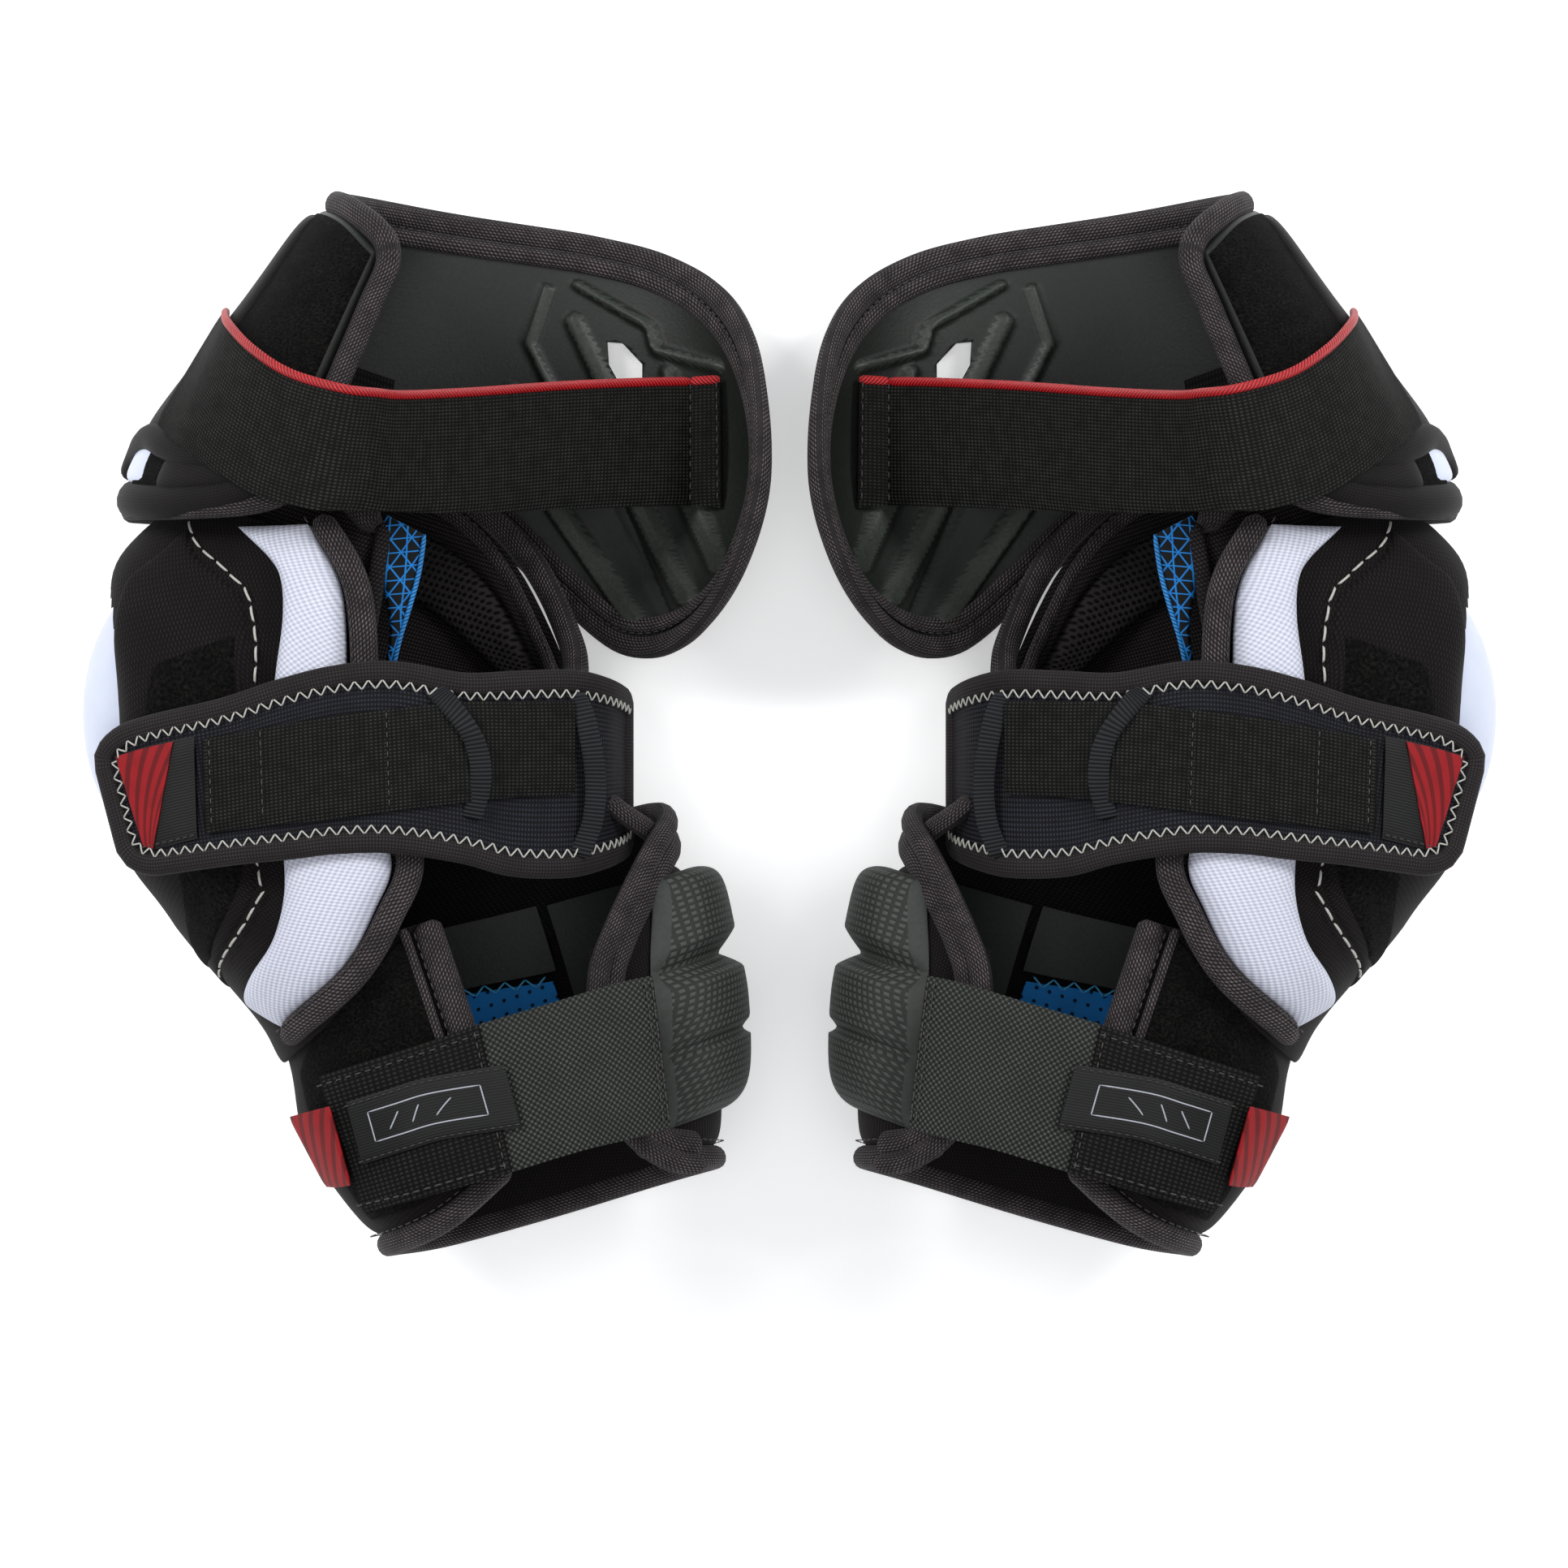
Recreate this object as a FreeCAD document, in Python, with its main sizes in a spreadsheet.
import FreeCAD
import Part
import math
import os
from FreeCAD import Rotation, Vector

# A pair of ice hockey elbow pads, lying on their outer sides.
# +X runs across the pair, +Y up the arm towards the shoulder and +Z up from the table.
# The left pad is built piece by piece and the right pad is its mirror image.
#
# A pad is laid out round the line of the bent arm. A place on it has three numbers:
#   along: distance up the arm line from the elbow, negative towards the wrist
#   round: degrees round the arm, 0 at the elbow tip, 90 on top, -90 on the table, -180 in the crook
#   out:   distance outside the arm cavity's wall
# Lists of (along, round) pairs outline the cut of each padded panel.

doc = FreeCAD.newDocument("elbow_pads")
sheet = doc.addObject("Spreadsheet::Sheet", "Dimensions")

DIMENSIONS = {
    # where a pad stands in the pair
    "pad_x": -135.2,
    "pad_y": -3.0,
    "arm_height": 56.1,
    # the arm line: straight, one arc at the elbow, straight
    "half_bend": 19.0,
    "bend_radius": 120.0,
    # how far from the cavity wall each layer starts and ends
    "liner_from": 0.5,
    "liner_to": 3.0,
    "foam_from": 4.0,
    "foam_to": 9.0,
    "cover_from": 10.0,
    "cover_to": 13.0,
    "patch_from": 13.4,
    "patch_to": 14.6,
    "wing_from": 14.0,
    "near_wing_to": 19.0,
    "far_wing_to": 18.0,
    "cuff_to": 8.2,
    "guard_from": 9.2,
    "guard_to": 18.4,
    # the bicep guard's own layers, measured from its inner face
    "shell_thickness": 5.0,
    "loop_from": 5.7,
    "loop_to": 6.8,
    "plate_to": 8.0,
    "binding_width": 6.0,
    "seam_gap": 0.8,
    # straps
    "strap_thickness": 1.8,
    "band_thickness": 2.2,
    "webbing_thickness": 1.4,
    "label_thickness": 0.9,
    "keeper_width": 6.5,
    "keeper_span": 42.0,
    "keeper_height": 5.0,
    "keeper_tape": 1.0,
    # the elbow cap, an egg-shaped dome, and what lies under it
    "cap_x": -60.0,
    "cap_y": 6.0,
    "cap_depth": 31.0,
    "cap_length": 46.0,
    "cap_half_height": 35.0,
    "cap_wall": 3.0,
    "cap_clearance": 1.0,
    "cap_rim_x": -71.0,
    "opening_half_length": 44.5,
    "opening_half_height": 34.0,
    "donut_thickness": 5.0,
    "donut_hole": 11.0,
    # vent through the bicep guard
    "vent_x": 81.5,
    "vent_y": 123.0,
    "vent_radius": 6.0,
    # pull tab
    "tab_length": 13.0,
    "tab_width": 25.0,
    "tab_thickness": 1.0,
}

for row, (alias, value) in enumerate(DIMENSIONS.items(), start=1):
    sheet.set(f"A{row}", alias)
    sheet.set(f"B{row}", str(value))
    sheet.setAlias(f"B{row}", alias)
doc.recompute()


def dim(alias):
    """The value of one driving dimension."""
    return float(sheet.get(alias))


# ---------------------------------------------------------------- the arm's line and walls

# Half widths and half heights of the two cavities, at stations along the arm line.
ARM = {
    "along": [-170, -120, -94, -80, -60, -40, 0, 30, 55, 85],
    "outer": [30, 46, 43, 43, 50, 57, 66, 69, 62, 54],
    "crook": [60, 76, 79, 80, 78, 74, 66, 62, 58, 54],
    "top": [31, 35, 36, 37, 37.5, 38, 38, 38, 37, 36],
    "under": [34, 36, 37, 37.5, 38, 38, 38, 38, 37, 36],
}
BICEP = {
    "along": [35, 60, 91, 120, 155, 185],
    "outer": [85, 85, 76, 66, 56, 48],
    "crook": [88, 92, 99, 97, 82, 68],
    "top": [60, 60, 60, 58, 54, 49],
    "under": [51, 51, 51, 51, 51, 51],
}
SQUARENESS = 2.5
SAME_WAY = 1  # a ruled surface joins two edges start to start


def smooth(places, values, at):
    """A smooth curve through (places, values), held flat past both ends."""
    if at <= places[0]:
        return values[0]
    if at >= places[-1]:
        return values[-1]

    def slope(i):
        before, after = max(i - 1, 0), min(i + 1, len(places) - 1)
        return (values[after] - values[before]) / (places[after] - places[before])

    i = max(k for k, place in enumerate(places) if place <= at)
    width = places[i + 1] - places[i]
    u = (at - places[i]) / width
    start, end = slope(i) * width, slope(i + 1) * width
    rise = values[i + 1] - values[i]
    return values[i] + start * u + (3 * rise - 2 * start - end) * u**2 + (start + end - 2 * rise) * u**3


def arm_line(along):
    """A point of the arm line in plan, and the direction that leads from it to the outer side."""
    radius, half = dim("bend_radius"), math.radians(dim("half_bend"))
    turn = max(-half, min(half, along / radius))
    rest = along - turn * radius
    x = radius * (1 - math.cos(turn)) + rest * math.sin(turn)
    y = radius * math.sin(turn) + rest * math.cos(turn)
    return (x, y), (-math.cos(turn), math.sin(turn))


def walls(cavity, along, out):
    """Half widths towards the elbow tip and the crook, and half heights up and down."""
    return [
        smooth(cavity["along"], cavity[side], along) + out
        for side in ("outer", "crook", "top", "under")
    ]


def reach(cavity, along, angle, out):
    """Distance from the arm line to the wall, in the direction of angle."""
    outer, crook, top, under = walls(cavity, along, out)
    across, up = math.cos(math.radians(angle)), math.sin(math.radians(angle))
    wide = abs(across) / (outer if across > 0 else crook)
    high = abs(up) / (top if up > 0 else under)
    return (wide**SQUARENESS + high**SQUARENESS) ** (-1 / SQUARENESS)


def place(x, y, z):
    """A point given from the elbow's middle, in the frame of the pair."""
    return Vector(x + dim("pad_x"), y + dim("pad_y"), z + dim("arm_height"))


def on_wall(cavity, along, angle, out):
    """The point out millimetres outside a cavity's wall."""
    (x, y), (outward_x, outward_y) = arm_line(along)
    distance = reach(cavity, along, angle, out)
    across = distance * math.cos(math.radians(angle))
    up = distance * math.sin(math.radians(angle))
    return place(x + outward_x * across, y + outward_y * across, up)


def above(cavity, x, y, out):
    """(along, round) of the point on the upper wall straight above plan point (x, y)."""
    along = y
    for _ in range(12):
        (px, py), (outward_x, outward_y) = arm_line(along)
        along += outward_y * (x - px) - outward_x * (y - py)
    (px, py), (outward_x, outward_y) = arm_line(along)
    across = (x - px) * outward_x + (y - py) * outward_y
    outer, crook, top, _ = walls(cavity, along, out)
    share = min(0.995, abs(across) / (outer if across > 0 else crook))
    up = top * (1 - share**SQUARENESS) ** (1 / SQUARENESS)
    return along, math.degrees(math.atan2(up, across))


# ---------------------------------------------------------------- solids from panels and strips


def resample(points, count):
    """count points along the smooth curve through a list of tuples."""
    steps = list(range(len(points)))
    columns = list(zip(*points))
    return [
        tuple(smooth(steps, column, i * steps[-1] / (count - 1)) for column in columns)
        for i in range(count)
    ]


def solid_between(top, bottom):
    """A closed solid whose two large faces pass through two grids of points."""
    faces, borders = [], []
    for grid in (top, bottom):
        surface = Part.BSplineSurface()
        surface.interpolate(grid)
        faces.append(surface.toShape())
        first_u, last_u, first_v, last_v = surface.bounds()
        borders.append(
            [surface.uIso(first_u), surface.uIso(last_u), surface.vIso(first_v), surface.vIso(last_v)]
        )
    for upper, lower in zip(*borders):
        faces.append(Part.makeRuledSurface(upper.toShape(), lower.toShape(), SAME_WAY))
    shell = Part.makeShell(faces)
    shell.sewShape()
    solid = Part.makeSolid(Part.Shell(shell.Faces))
    if solid.Volume < 0:
        solid.reverse()
    return solid


def panel(cavity, edge_a, edge_b, out_from, out_to, along=21, across=12):
    """A padded panel between two outline edges given as (along, round) lists."""
    first, last = resample(edge_a, along), resample(edge_b, along)

    def grid(out):
        rows = []
        for (start, start_angle), (end, end_angle) in zip(first, last):
            row = []
            for k in range(across):
                share = k / (across - 1)
                angle = start_angle + (end_angle - start_angle) * share
                row.append(on_wall(cavity, start + (end - start) * share, angle, out))
            rows.append(row)
        return rows

    return solid_between(grid(out_to), grid(out_from))


def shifted(cavity, edge, distance, out):
    """An outline edge moved sideways over the wall; positive moves it to the left of its run."""
    moved = []
    for i, (along, angle) in enumerate(edge):
        before, after = edge[max(i - 1, 0)], edge[min(i + 1, len(edge) - 1)]
        millimetres = math.radians(1) * reach(cavity, along, angle, out)
        run, climb = after[0] - before[0], (after[1] - before[1]) * millimetres
        length = math.hypot(run, climb)
        moved.append((along - climb / length * distance, angle + run / length * distance / millimetres))
    return moved


def binding(cavity, edge, side, width, out_from, out_to, count=21):
    """A strip of edge binding beside a panel's edge. side is 1 or -1, the side of the run it lies on."""
    fine = resample(edge, count)
    middle = (out_from + out_to) / 2
    inner = shifted(cavity, fine, side * dim("seam_gap"), middle)
    outer = shifted(cavity, fine, side * (dim("seam_gap") + width), middle)
    return panel(cavity, inner, outer, out_from, out_to, along=count, across=4)


def strip(stations, thickness, lift=0.0, count=17, across=4):
    """A strap through stations of two edge points each, from lift to lift + thickness over that surface."""
    first = [Vector(*p) for p in resample([s[0] for s in stations], count)]
    last = [Vector(*p) for p in resample([s[1] for s in stations], count)]
    base = [[a + (b - a) * (k / (across - 1)) for k in range(across)] for a, b in zip(first, last)]

    def normal(i, k):
        run = base[min(i + 1, count - 1)][k] - base[max(i - 1, 0)][k]
        face = run.cross(base[i][-1] - base[i][0])
        return face.normalize()

    up = 1 if normal(count // 2, 0).z > 0 else -1

    def grid(height):
        return [[base[i][k] + normal(i, k) * (up * height) for k in range(across)] for i in range(count)]

    return solid_between(grid(lift + thickness), grid(lift))


# ---------------------------------------------------------------- the document's objects

pieces = {}


def keep(name, built):
    """Gives a finished document object its label and lists it as a piece of the left pad."""
    built.Label = "left_" + name
    pieces[name] = built
    return built


def sewn(name, *solids):
    """A soft piece as a document object: one solid, or a group of separate ones."""
    feature = doc.addObject("Part::Feature", "Sewn_" + name)
    feature.Shape = solids[0] if len(solids) == 1 else Part.makeCompound(list(solids))
    feature.Placement = FreeCAD.Placement()
    return feature


def bind(target, **expressions):
    """Ties properties of a document object to the dimension sheet."""
    for name, expression in expressions.items():
        target.setExpression(name.replace("__", "."), expression)
    return target


def cell(alias):
    return "Dimensions." + alias


def body_plane(body, role):
    return next(f for f in body.Origin.OriginFeatures if f.Role == role)


# ---------------------------------------------------------------- elbow section

CAP_CENTRE = {
    "Placement__Base__x": "Dimensions.pad_x + Dimensions.cap_x",
    "Placement__Base__y": "Dimensions.pad_y + Dimensions.cap_y",
    "Placement__Base__z": cell("arm_height"),
}


def egg(name, extra):
    """The elbow cap's egg shape, grown by an expression."""
    shape = doc.addObject("Part::Ellipsoid", name)
    bind(
        shape,
        Radius1=f"Dimensions.cap_half_height + {extra}",
        Radius2=f"Dimensions.cap_depth + {extra}",
        Radius3=f"Dimensions.cap_length + {extra}",
        **CAP_CENTRE,
    )
    return shape


def oval_prism(name, start):
    """An upright oval, a little larger than the cap's rim, that runs out through the sleeve from start."""
    oval = doc.addObject("Part::Ellipse", name + "Oval")
    oval.Placement.Rotation = Rotation(Vector(0, 1, 0), Vector(0, 0, 1), Vector(1, 0, 0), "XYZ")
    bind(
        oval,
        MajorRadius=cell("opening_half_length"),
        MinorRadius=cell("opening_half_height"),
        Placement__Base__x=f"Dimensions.pad_x + {start}",
        Placement__Base__y="Dimensions.pad_y + Dimensions.cap_y",
        Placement__Base__z=cell("arm_height"),
    )
    prism = doc.addObject("Part::Extrusion", name)
    prism.Base, prism.Dir, prism.Solid = oval, Vector(-1, 0, 0), True
    prism.DirMode = "Custom"
    bind(prism, LengthFwd="2 * Dimensions.cap_length")
    return prism


def cut(name, base, tool):
    result = doc.addObject("Part::Cut", name)
    result.Base, result.Tool = base, tool
    return result


def elbow_cap():
    """Hard plastic dome over the elbow tip, open towards the arm."""
    dome = cut("CapDome", egg("CapOutside", "0"), egg("CapInside", "-Dimensions.cap_wall"))
    beyond_rim = doc.addObject("Part::Box", "BeyondCapRim")
    bind(
        beyond_rim,
        Length="4 * Dimensions.cap_depth",
        Width="4 * Dimensions.cap_length",
        Height="4 * Dimensions.cap_half_height",
        Placement__Base__x="Dimensions.pad_x + Dimensions.cap_rim_x",
        Placement__Base__y="Dimensions.pad_y + Dimensions.cap_y - 2 * Dimensions.cap_length",
        Placement__Base__z="Dimensions.arm_height - 2 * Dimensions.cap_half_height",
    )
    return cut("Cap", dome, beyond_rim)


def elbow_donut():
    """Foam pad inside the sleeve with a round hole for the elbow tip."""
    upper = [(34, 26), (37, 0), (34, -26)]
    lower = [(-24, 26), (-27, 0), (-24, -26)]
    pad = sewn("donut_pad", panel(ARM, upper, lower, -dim("donut_thickness"), -0.6))
    hole = doc.addObject("Part::Cylinder", "DonutHole")
    hole.Placement.Rotation = Rotation(Vector(0, 1, 0), -90)
    bind(
        hole,
        Radius=cell("donut_hole"),
        Height="3 * Dimensions.cap_depth",
        Placement__Base__x=cell("pad_x"),
        Placement__Base__y="Dimensions.pad_y + Dimensions.cap_y",
        Placement__Base__z=cell("arm_height"),
    )
    return cut("Donut", pad, hole)


# Outline of the sleeve's upper rim, from the near edge round the outer side to the crook.
RIM = [
    (20, 96), (60, 75), (71, 45), (76, 0), (80, -45), (80, -90), (76, -115), (67, -135),
    (50, -155), (36, -170), (14, -180),
]
WRIST_END = [
    (-58, 96), (-58, 75), (-58, 45), (-58, 0), (-58, -45), (-52, -90), (-45, -115),
    (-40, -135), (-36, -155), (-32, -170), (-30, -180),
]


def inset(edge, distance):
    """The same outline with its ends of the arm moved in."""
    return [(along - distance, angle) for along, angle in edge]


def sleeve_liner():
    return panel(ARM, RIM, WRIST_END, dim("liner_from"), dim("liner_to"), along=27, across=14)


def collar_pad():
    """Mesh-covered pad inside the far rim."""
    upper = inset(RIM[5:10], 4)
    lower = inset(RIM[5:10], 30)
    return panel(ARM, upper, lower, -5.0, -0.3)


def elbow_foam():
    """Foam between liner and cover, with a pocket for the cap."""
    upper = inset(RIM[1:7], 12)
    lower = [(along + 6, angle) for along, angle in WRIST_END[1:7]]
    slab = sewn("foam_slab", panel(ARM, upper, lower, dim("foam_from"), dim("foam_to")))
    return cut("ElbowFoam", slab, oval_prism("CapPocket", "Dimensions.cap_rim_x + Dimensions.cap_clearance"))


COVER_TOP = [(44, 78), (52, 60), (53, 30), (50, 0), (53, -30), (50, -60), (38, -84)]
COVER_LOW = [(-62, 78), (-80, 60), (-90, 30), (-92, 0), (-90, -30), (-80, -60), (-62, -84)]


def cap_cover():
    """Nylon cover with an egg-shaped opening for the cap."""
    cloth = sewn("cover_cloth", panel(ARM, COVER_TOP, COVER_LOW, dim("cover_from"), dim("cover_to")))
    return cut("Cover", cloth, oval_prism("CapOpening", "0.8 * Dimensions.cap_x"))


# The white wing on the near side, from shoulder end to wrist end, as points in plan.
NEAR_WING_TIP_SIDE = [
    (-42, 63), (-28, 52), (-25.2, 36.4), (-27.8, 15), (-28, -18), (-25.2, -44), (-29, -65),
    (-38, -78), (-42, -87),
]
NEAR_WING_CROOK_SIDE = [
    (-21, 63), (-8, 49), (-4.6, 34), (-3.4, 15), (4, -18), (11, -40), (5, -56), (-8, -76),
    (-30, -92),
]
FAR_WING_TIP_SIDE = [(32, -40), (22, -37), (0, -38), (-30, -38), (-60, -38), (-76, -42)]
FAR_WING_CROOK_SIDE = [(30, -70), (28, -96), (20, -112), (-30, -112), (-48, -100), (-70, -66)]


def over(cavity, plan_points, out):
    return [above(cavity, x, y, out) for x, y in plan_points]


def near_wing():
    out = dim("near_wing_to")
    first, last = over(ARM, NEAR_WING_TIP_SIDE, out), over(ARM, NEAR_WING_CROOK_SIDE, out)
    return panel(ARM, first, last, dim("wing_from"), out)


def far_wing():
    return panel(ARM, FAR_WING_TIP_SIDE, FAR_WING_CROOK_SIDE, dim("wing_from"), dim("far_wing_to"))


def wing_bindings():
    """Rolled edges of the two wings and of the sleeve's rim."""
    near_edge = over(ARM, NEAR_WING_CROOK_SIDE, dim("near_wing_to"))
    far_edge = FAR_WING_CROOK_SIDE
    return (
        binding(ARM, near_edge, -1, 8.0, dim("patch_from"), dim("near_wing_to") - 1.5),
        binding(ARM, far_edge, 1, dim("binding_width"), dim("patch_from"), dim("far_wing_to") - 0.5),
        binding(ARM, RIM[1:], 1, dim("binding_width"), -1.5, dim("foam_to"), count=25),
    )


def loop_patch():
    """Loop fabric on the cover, where the elbow strap closes."""
    tip_side = over(ARM, [(-62, 22), (-63, 0), (-62, -22), (-57, -44)], dim("patch_to"))
    crook_side = over(ARM, [(-33, 26), (-33, 0), (-33, -22), (-34, -56)], dim("patch_to"))
    return panel(ARM, tip_side, crook_side, dim("patch_from"), dim("patch_to"))


# ---------------------------------------------------------------- bicep guard

GUARD_TOP = [
    (145, 55), (152, 38), (154, 15), (156, -15), (161, -50), (168, -90), (172, -115),
    (173, -135), (168, -153), (155, -168), (134, -180),
]
GUARD_LOW = [
    (66, 55), (54, 38), (47, 15), (48, -15), (62, -50), (84, -90), (78, -115), (67, -135),
    (58, -153), (67, -168), (90, -180),
]


def bicep_shell():
    """Moulded foam sheet wrapped round the upper arm, with one vent."""
    foam = panel(BICEP, GUARD_TOP, GUARD_LOW, 0.0, dim("shell_thickness"), along=27)
    sheet_foam = sewn("guard_sheet", foam)
    vent = doc.addObject("Part::Prism", "Vent")
    vent.Polygon = 6
    bind(
        vent,
        Circumradius=cell("vent_radius"),
        Height=cell("arm_height"),
        Placement__Base__x="Dimensions.pad_x + Dimensions.vent_x",
        Placement__Base__y="Dimensions.pad_y + Dimensions.vent_y",
    )
    return cut("GuardShell", sheet_foam, vent)


def bicep_binding():
    """Rolled edge round all four sides of the guard."""
    width, thick = dim("binding_width"), dim("shell_thickness") - 0.3
    flap_edge = resample([GUARD_LOW[0], GUARD_TOP[0]], 5)
    rim_edge = resample([GUARD_LOW[-1], GUARD_TOP[-1]], 5)
    return (
        binding(BICEP, GUARD_TOP, 1, width, -1.5, thick, count=25),
        binding(BICEP, GUARD_LOW, -1, width, -1.5, thick, count=25),
        binding(BICEP, flap_edge, 1, width, -1.5, thick, count=7),
        binding(BICEP, rim_edge, -1, width, -1.5, thick, count=7),
    )


FLAP_LOOP_EDGE = 51


def bicep_loop_panel():
    """Loop fabric on the guard's near flap, where the upper strap closes."""
    upper = [(along - 7, angle) for along, angle in GUARD_TOP[:3]]
    lower = [(along + 9, angle) for along, angle in GUARD_LOW[:3]]
    upper[0], lower[0] = (upper[0][0], FLAP_LOOP_EDGE), (lower[0][0], FLAP_LOOP_EDGE)
    return panel(BICEP, upper, lower, dim("loop_from"), dim("loop_to"))


def bicep_plate():
    """Stiff plastic plate on the guard's outer side."""
    upper = [(146, 6), (148, -20), (150, -45)]
    lower = [(60, 6), (64, -20), (78, -45)]
    return panel(BICEP, upper, lower, dim("loop_from"), dim("plate_to"))


def elastic_gusset():
    """Stretch panel that hangs the guard from the sleeve, under the guard's outer side."""
    stations = []
    for angle in (20, 0, -20, -40):
        upper = on_wall(BICEP, 112, angle, -1.6)
        lower = on_wall(ARM, 93, angle, 5)
        stations.append((tuple(upper), tuple(lower)))
    return strip(stations, 1.0, lift=-0.5, count=9)


# ---------------------------------------------------------------- upper strap

# Pairs of edge points: height is from the arm line, the last ones lie over the flap.
UPPER_STRAP_SPAN = [
    ((103, 115, -30), (103, 74, -30)),
    ((88, 114, -17), (87, 73, -16)),
    ((62, 111.5, 6), (60, 71, 7.5)),
    ((34, 108, 30.5), (34, 69, 30.5)),
    ((14, 106, 49), (12, 68.5, 51)),
    ((6, 106, 61), (0, 68.5, 66)),
]
UPPER_STRAP_WRAP = [
    ((-4, 107), (-12, 68.5)), ((-20, 112), (-30, 73)), ((-32, 120), (-44, 81)),
    ((-40.5, 129), (-55, 89)), ((-46, 135.5), (-63, 96)),
]


def upper_strap_stations():
    lift = dim("loop_to") + 3.6
    wrap = []
    for pair in UPPER_STRAP_WRAP:
        wrap.append(tuple(tuple(on_wall(BICEP, *above(BICEP, x, y, lift), lift)) for x, y in pair))
    span = [tuple(tuple(place(*p)) for p in pair) for pair in UPPER_STRAP_SPAN]
    return span + wrap


def upper_strap():
    return strip(upper_strap_stations(), dim("strap_thickness"), count=21)


def upper_strap_hook():
    """Hook patch sewn on the strap's free end."""
    return strip(upper_strap_stations()[-3:], 1.2, lift=dim("strap_thickness") + 0.9, count=9)


# ---------------------------------------------------------------- elbow strap

BAND_CREST = 60.5
BAND_FALL = 0.00416


def band_height(x):
    """Height of the arched elbow strap over the arm line."""
    return BAND_CREST - BAND_FALL * (x + 5) ** 2


BAND_EDGES = [
    ((-85.5, -2.3), (-72.8, -45.8)),
    ((-66, 4), (-56, -43.5)),
    ((-42, 9.5), (-37, -41)),
    ((-24, 15.5), (-20, -39.5)),
    ((-6.5, 20), (-6.5, -38)),
    ((11.4, 21.5), (11.4, -37.8)),
    ((32.5, 18), (32.5, -41)),
    ((50, 19), (48, -45.5)),
    ((66, 19.5), (65, -46)),
]
BAND_FOLD = [((76, 17, 26), (76, -43, 26)), ((81, 14, 10), (81, -40, 10)), ((82, 12, 4), (82, -38, 4))]


def elbow_band_stations(edges):
    return [tuple(tuple(place(x, y, band_height(x))) for x, y in pair) for pair in edges]


def elbow_strap_band():
    fold = [tuple(tuple(place(*p)) for p in pair) for pair in BAND_FOLD]
    return strip(elbow_band_stations(BAND_EDGES) + fold, dim("band_thickness"), count=25)


def elbow_strap_webbing():
    edges = [
        ((-47.5, -2.5), (-46.5, -32)),
        ((-10, 4), (-9, -27.5)),
        ((28, 8.8), (29, -22.6)),
        ((50, 9.3), (50, -20.5)),
        ((66, 9.6), (66, -19.7)),
    ]
    return strip(elbow_band_stations(edges), dim("webbing_thickness"), lift=dim("band_thickness") + 1.2)


def elbow_strap_patch():
    """Printed patch at the strap's free end."""
    edges = [((-78, -6.5), (-68.5, -40)), ((-65, -3), (-59, -37.5)), ((-50, -1), (-49, -34.5))]
    lift = dim("band_thickness") + 0.8
    return strip(elbow_band_stations(edges), dim("label_thickness"), lift, count=9)


def keeper_loop(number, x, y, tilt):
    """A bridge of narrow tape over the webbing."""
    body = doc.addObject("PartDesign::Body", f"Keeper{number}")
    profile = body.newObject("Sketcher::SketchObject", f"KeeperProfile{number}")
    profile.AttachmentSupport = [(body_plane(body, "YZ_Plane"), "")]
    profile.MapMode = "FlatFace"
    half, high, tape = dim("keeper_span") / 2, dim("keeper_height"), dim("keeper_tape")
    slope = 6.0
    outside = [(-half, 0), (slope - half, high), (half - slope, high), (half, 0)]
    inner_half = half - slope - tape / 2
    inside = [(half - tape, 0), (inner_half, high - tape), (-inner_half, high - tape), (tape - half, 0)]
    corners = [Vector(a, b, 0) for a, b in outside + inside]
    for start, end in zip(corners, corners[1:] + corners[:1]):
        profile.addGeometry(Part.LineSegment(start, end), False)
    pad = body.newObject("PartDesign::Pad", f"KeeperPad{number}")
    pad.Profile = profile
    pad.Midplane = True
    bind(pad, Length=cell("keeper_width"))
    body.Placement = FreeCAD.Placement(
        place(x, y, band_height(x) + dim("band_thickness") + 1.3), Rotation(Vector(0, 1, 0), tilt)
    )
    return body


def keeper_loops():
    """Two tape loops that hold the webbing to the band."""
    group = doc.addObject("Part::Compound", "Keepers")
    slope = [math.degrees(math.atan(2 * BAND_FALL * (x + 5))) for x in (31, 62)]
    group.Links = [keeper_loop(1, 31, -7.5, slope[0]), keeper_loop(2, 62, -7.5, slope[1])]
    return group


# ---------------------------------------------------------------- forearm section

CUFF_ROUND = [97, 60, 20, -20, -60, -100, -140, -170, -195, -214]
CUFF_TOP = list(zip([-64, -63, -63, -63, -63, -64, -67, -71, -78, -90], CUFF_ROUND))
CUFF_LOW = list(zip([-142, -152, -154, -156, -160, -162, -163, -163, -160, -150], CUFF_ROUND))


def forearm_cuff():
    return panel(ARM, CUFF_TOP, CUFF_LOW, dim("foam_from"), dim("cuff_to"), along=27)


def forearm_liner():
    low = [(along + 4, angle) for along, angle in CUFF_LOW[:8]]
    high = [(along - 2, angle) for along, angle in CUFF_TOP[:8]]
    return panel(ARM, high, low, dim("liner_from"), dim("liner_to"), along=21)


def cuff_loop_panel():
    """Loop fabric on the cuff's near side, where the forearm strap closes."""
    upper = [(-94, 30), (-80, 62), (-66, 92)]
    lower = [(-148, 30), (-146, 62), (-138, 92)]
    return panel(ARM, upper, lower, dim("cuff_to") + 0.7, dim("cuff_to") + 1.8)


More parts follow.
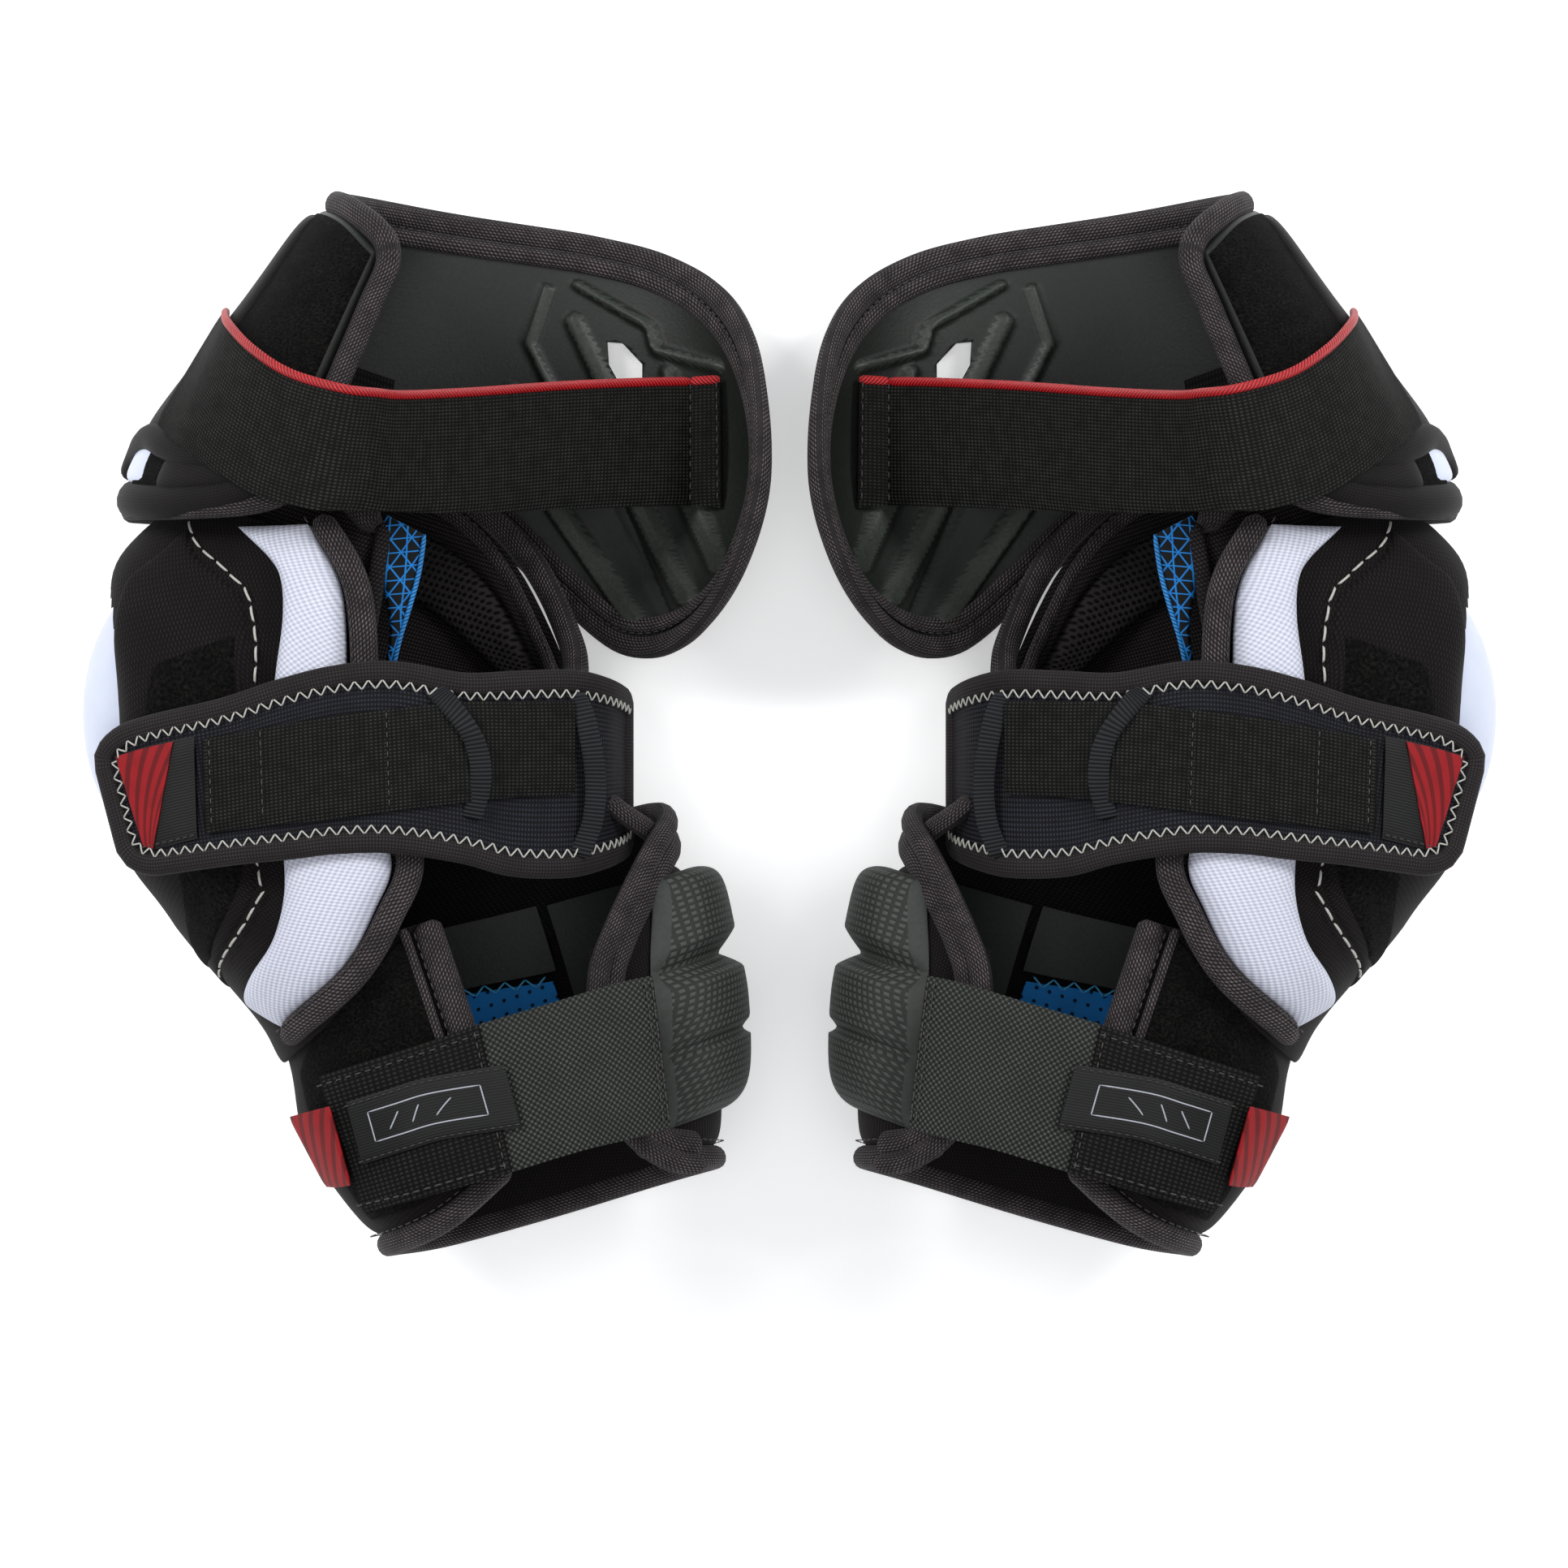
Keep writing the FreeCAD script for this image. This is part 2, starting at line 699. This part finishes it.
def forearm_bindings():
    """Rolled edges of the cuff: near edge, wrist end and the rim over the guard."""
    near_edge = [(-140 + 76 * k / 5, 97) for k in range(6)]
    width, out_from, out_to = dim("binding_width"), 2.5, dim("cuff_to") + 0.8
    return (
        binding(ARM, near_edge, 1, width, out_from, out_to, count=9),
        binding(ARM, CUFF_LOW, -1, width, out_from + 1, dim("cuff_to"), count=25),
        binding(ARM, CUFF_TOP[6:], 1, width, out_from, dim("cuff_to"), count=9),
    )


def forearm_guard():
    """Moulded foam slash guard on the crook side, with a notch and a groove across it."""
    turns = [-112, -140, -165, -185, -202, -211]
    upper = list(zip([-76, -74, -72, -72, -76, -84], turns))
    lower = list(zip([-152, -154, -155, -155, -154, -150], turns))
    block = sewn("guard_block", panel(ARM, upper, lower, dim("guard_from"), dim("guard_to")))
    cutters = doc.addObject("Part::Compound", "GuardCutters")
    cutters.Links = [
        guard_cutter("Notch", -104.0, 9.0, 5.0, 45.0),
        guard_cutter("Groove", -129.0, 2.4, 7.5, 0.0),
    ]
    return cut("SlashGuard", block, cutters)


def guard_cutter(name, along, width, depth_left, turn):
    """A square bar that runs up the guard's outer face; depth_left is what stays under it."""
    bar = doc.addObject("Part::Box", name)
    bar.Length, bar.Width, bar.Height = width, width, 2 * dim("arm_height")
    (x, y), (outward_x, outward_y) = arm_line(along)
    crook = walls(ARM, along, dim("guard_from") + depth_left)[1]
    lean = math.degrees(math.atan2(-outward_y, -outward_x))
    corner = place(x - outward_x * crook, y - outward_y * crook, -dim("arm_height"))
    bar.Placement = FreeCAD.Placement(corner, Rotation(Vector(0, 0, 1), lean - turn))
    return bar


# ---------------------------------------------------------------- forearm strap

FOREARM_STRAP = [
    ((-12.2, -107.9), (2.1, -150.8)),
    ((4.7, -102.5), (16.4, -147.2)),
    ((20.3, -97.5), (30.7, -143)),
    ((38.5, -91.5), (48.9, -137.8)),
    ((59.3, -85.3), (69.7, -131.3)),
    ((80.1, -79), (87.9, -126.9)),
    ((91.8, -76.5), (97.5, -124)),
]
STRAP_OVER_CUFF = 13.0
STRAP_OVER_GUARD = 21.5
STRAP_RISE_X = [30, 88]


def forearm_strap_stations(pairs):
    """Lays plan points over the cuff, rising evenly to the guard on the crook side."""
    stations = []
    for pair in pairs:
        lifted = []
        for x, y in pair:
            out = smooth(STRAP_RISE_X, [STRAP_OVER_CUFF, STRAP_OVER_GUARD], x)
            lifted.append(tuple(on_wall(ARM, *above(ARM, x, y, out), out)))
        stations.append(tuple(lifted))
    return stations


def forearm_strap_webbing():
    pairs = [((35, -92.6), (45.4, -138.8))] + FOREARM_STRAP[3:]
    return strip(forearm_strap_stations(pairs), dim("strap_thickness"))


def forearm_strap_hook():
    pairs = FOREARM_STRAP[:3] + [((33.5, -93.1), (43.9, -139.3))]
    return strip(forearm_strap_stations(pairs), dim("strap_thickness"), count=11)


def label_patch():
    pairs = [
        ((-2, -115.7), (3.5, -135)),
        ((10, -112.5), (16, -132)),
        ((22, -109.5), (28, -129)),
        ((31, -107.3), (37, -127)),
    ]
    lift = dim("strap_thickness") + 0.5
    return strip(forearm_strap_stations(pairs), dim("label_thickness"), lift, count=9)


PULL_TAB_ROOT = [(-13.4, -113.0, 43.0), (-6.4, -138.0, 40.0)]


def pull_tab():
    """Flat tab past the hook end, to peel the strap open."""
    body = doc.addObject("PartDesign::Body", "PullTab")
    outline = body.newObject("Sketcher::SketchObject", "TabOutline")
    outline.AttachmentSupport = [(body_plane(body, "XY_Plane"), "")]
    outline.MapMode = "FlatFace"
    length, width = dim("tab_length"), dim("tab_width")
    lean = 5.0
    outline_points = [(0, 0), (length, -lean), (length, lean - width), (lean, -width)]
    corners = [Vector(x, y, 0) for x, y in outline_points]
    for start, end in zip(corners, corners[1:] + corners[:1]):
        outline.addGeometry(Part.LineSegment(start, end), False)
    pad = body.newObject("PartDesign::Pad", "TabPad")
    pad.Profile = outline
    bind(pad, Length=cell("tab_thickness"))
    top, bottom = (place(*corner) for corner in PULL_TAB_ROOT)
    run = (bottom - top).cross(Vector(-0.35, -0.1, 0.93))
    body.Placement = FreeCAD.Placement(top, Rotation(run, top - bottom, Vector(), "XYZ"))
    return body


# ---------------------------------------------------------------- build, check and write

keep("elbow_cap", elbow_cap())
keep("elbow_donut", elbow_donut())
keep("sleeve_liner", sewn("sleeve_liner", sleeve_liner()))
keep("collar_pad", sewn("collar_pad", collar_pad()))
keep("elbow_foam", elbow_foam())
keep("cap_cover", cap_cover())
keep("near_wing", sewn("near_wing", near_wing()))
keep("far_wing", sewn("far_wing", far_wing()))
keep("sleeve_bindings", sewn("sleeve_bindings", *wing_bindings()))
keep("loop_patch", sewn("loop_patch", loop_patch()))
keep("bicep_shell", bicep_shell())
keep("bicep_binding", sewn("bicep_binding", *bicep_binding()))
keep("bicep_loop_panel", sewn("bicep_loop_panel", bicep_loop_panel()))
keep("bicep_plate", sewn("bicep_plate", bicep_plate()))
keep("elastic_gusset", sewn("elastic_gusset", elastic_gusset()))
keep("upper_strap", sewn("upper_strap", upper_strap()))
keep("upper_strap_hook", sewn("upper_strap_hook", upper_strap_hook()))
keep("elbow_strap_band", sewn("elbow_strap_band", elbow_strap_band()))
keep("elbow_strap_webbing", sewn("elbow_strap_webbing", elbow_strap_webbing()))
keep("elbow_strap_patch", sewn("elbow_strap_patch", elbow_strap_patch()))
keep("keeper_loops", keeper_loops())
keep("forearm_cuff", sewn("forearm_cuff", forearm_cuff()))
keep("forearm_liner", sewn("forearm_liner", forearm_liner()))
keep("cuff_loop_panel", sewn("cuff_loop_panel", cuff_loop_panel()))
keep("forearm_bindings", sewn("forearm_bindings", *forearm_bindings()))
keep("forearm_guard", forearm_guard())
keep("forearm_strap_webbing", sewn("forearm_strap_webbing", forearm_strap_webbing()))
keep("forearm_strap_hook", sewn("forearm_strap_hook", forearm_strap_hook()))
keep("label_patch", sewn("label_patch", label_patch()))
keep("pull_tab", pull_tab())
doc.recompute()

finished = list(pieces.values())
for name, left in pieces.items():
    mirrored = doc.addObject("Part::Mirroring", "Right_" + name)
    mirrored.Source = left
    mirrored.Normal = Vector(1, 0, 0)
    mirrored.Label = "right_" + name
    finished.append(mirrored)
doc.recompute()

for item in doc.Objects:
    if "Invalid" in item.State or "Error" in item.State:
        raise RuntimeError(f"{item.Label} did not build: {item.State}")
for item in finished:
    if item.Shape.isNull() or not item.Shape.isValid() or not item.Shape.Solids:
        raise RuntimeError(f"{item.Label} is not a valid solid")

os.makedirs("parts", exist_ok=True)
for item in finished:
    item.Shape.exportStep(os.path.join("parts", item.Label + ".step"))

box = FreeCAD.BoundBox()
for item in finished:
    box.add(item.Shape.BoundBox)
print("pieces", len(finished))
print("x", box.XMin, box.XMax, "y", box.YMin, box.YMax, "z", box.ZMin, box.ZMax)
